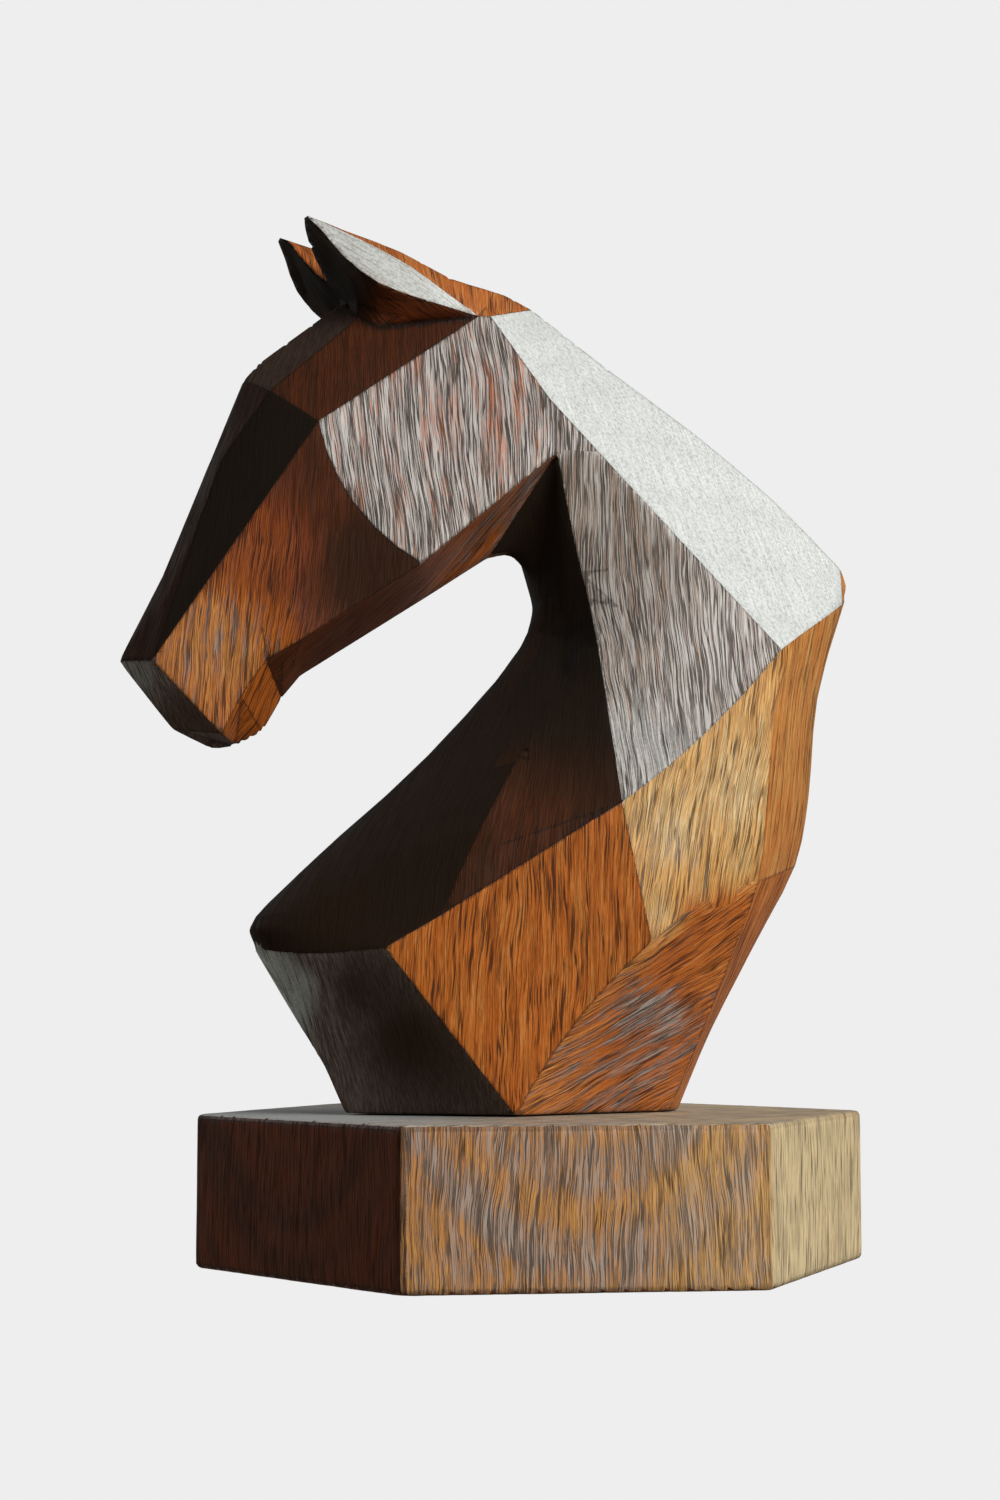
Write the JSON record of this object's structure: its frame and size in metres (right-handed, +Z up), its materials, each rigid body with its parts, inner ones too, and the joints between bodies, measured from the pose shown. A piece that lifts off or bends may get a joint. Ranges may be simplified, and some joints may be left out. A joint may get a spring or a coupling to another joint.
{
  "type": "wooden horse sculpture",
  "caption": "Faceted wooden horse head and neck standing on a six-sided wooden plinth, a table or shelf ornament.",
  "frame": {"origin": "middle of the plinth's underside", "axes": "+Z up, -X the way the horse faces, -Y its near side; the XZ plane is the horse's middle plane"},
  "size_m": [0.1906, 0.154, 0.2438],
  "materials": {
    "horse_wood": "stained reddish brown, open grain, satin varnish",
    "plinth_wood": "stained reddish brown, open grain, satin varnish"
  },
  "bodies": {
    "root": {"horse_bust": "horse_wood", "plinth": "plinth_wood"}
  },
  "joints": []
}
